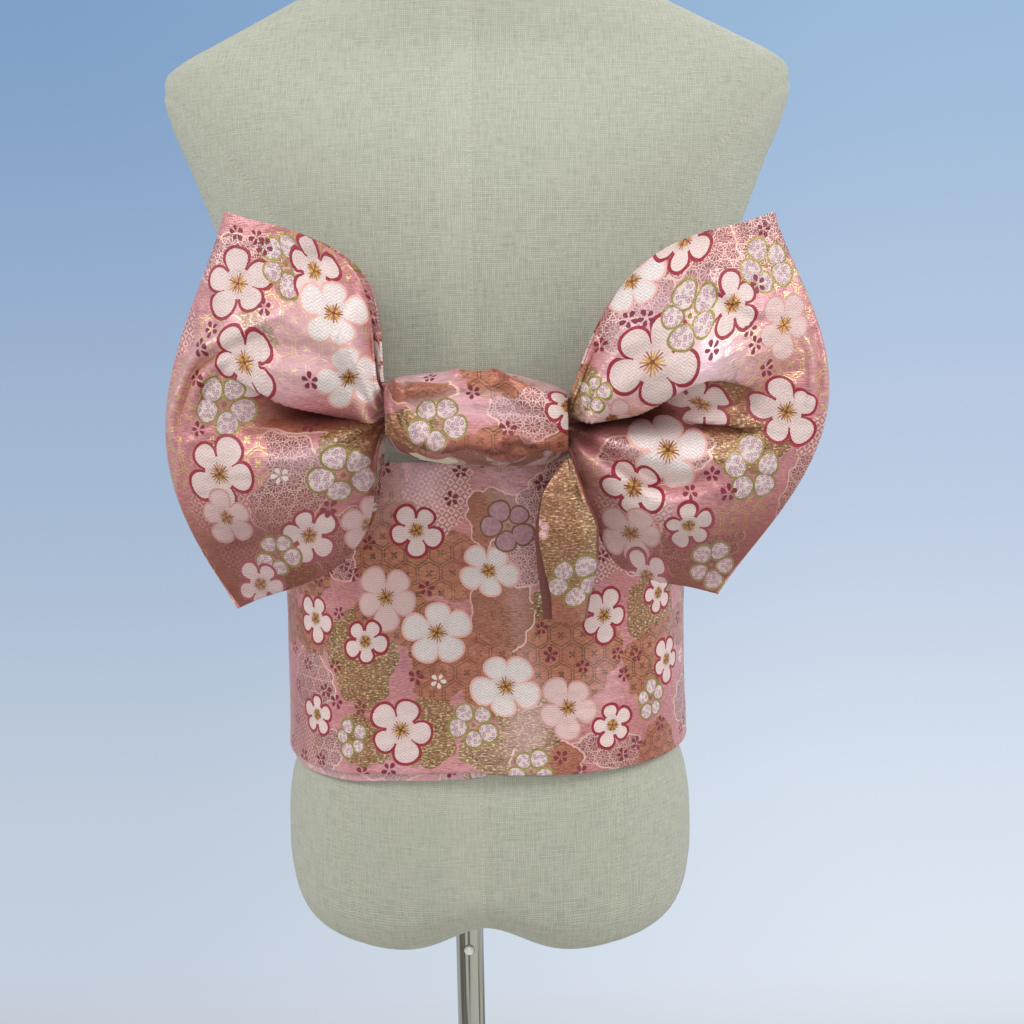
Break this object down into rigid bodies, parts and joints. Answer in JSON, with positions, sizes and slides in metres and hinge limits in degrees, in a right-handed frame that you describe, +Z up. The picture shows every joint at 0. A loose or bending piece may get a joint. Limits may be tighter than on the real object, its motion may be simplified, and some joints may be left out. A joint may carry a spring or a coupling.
{
  "type": "brocade bow sash on a limbless dress form with a pole stand",
  "caption": "Wide patterned sash wound round a linen dress form, with a large ready-tied bow and a short tail at the back, on a pole with a round base.",
  "frame": {"origin": "centre of the round base's underside, on the pole's axis", "axes": "+Z up, the bow and the back of the form face -Y, +X to the right as the bow is looked at"},
  "size_m": [0.3288, 0.2793, 0.8423],
  "materials": {
    "linen": "matt slubby linen in a greenish beige",
    "cap": "plain satin",
    "brocade": "satin ground in dusty pink with raised woven blossoms",
    "brocade_under": "the same brocade, inner turn",
    "chrome": "bright plated",
    "steel": "plain spring steel",
    "base_paint": "off-white powder coat"
  },
  "bodies": {
    "root": {"form_torso": "linen", "form_neck_cap": "cap", "band_first_turn": "brocade_under", "band_second_turn": "brocade", "bow_loop_left": "brocade", "bow_loop_right": "brocade", "knot_wrap": "brocade", "bow_tail": "brocade", "bow_hook": "steel", "stand_pole": "chrome", "snap_button": "steel", "base_collar": "chrome", "base_plate": "base_paint"}
  },
  "joints": []
}
